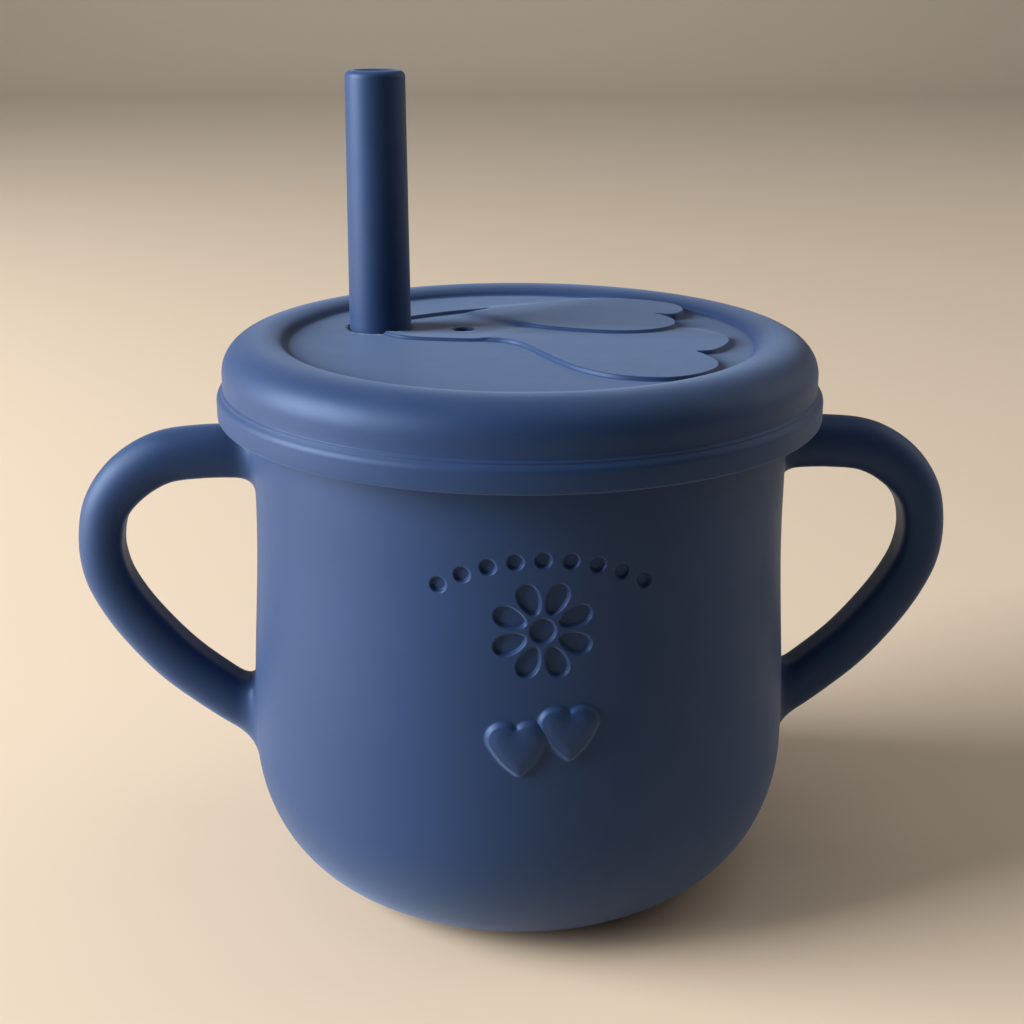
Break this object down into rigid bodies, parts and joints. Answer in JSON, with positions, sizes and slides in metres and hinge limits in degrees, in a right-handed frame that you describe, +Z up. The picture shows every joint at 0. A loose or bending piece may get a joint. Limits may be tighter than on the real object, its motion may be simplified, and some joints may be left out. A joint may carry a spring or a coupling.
{
  "type": "sippy cup",
  "caption": "Two-handled silicone training cup with a push-on lid, a drinking straw through the lid and raised hearts on its front and top.",
  "frame": {"origin": "middle of the foot, on the surface the cup stands on", "axes": "+Z up along the cup's axis; the two handles lie along X; the embossed front faces -Y"},
  "size_m": [0.1244, 0.0834, 0.1127],
  "materials": {
    "cup_silicone": "matte moulded silicone, navy blue",
    "lid_silicone": "matte moulded silicone, navy blue",
    "straw_silicone": "matte moulded silicone, navy blue"
  },
  "bodies": {
    "cup": {"cup_body": "cup_silicone"},
    "lid": {"lid": "lid_silicone"},
    "straw": {"straw": "straw_silicone"}
  },
  "joints": [
    {"name": "lid_lift", "type": "slide", "parent": "cup", "child": "lid", "axis": [0, 0, 1], "range_m": [0, 0.08]},
    {"name": "straw_slide", "type": "slide", "parent": "lid", "child": "straw", "axis": [0, 0, 1], "range_m": [-0.003, 0.075]}
  ]
}
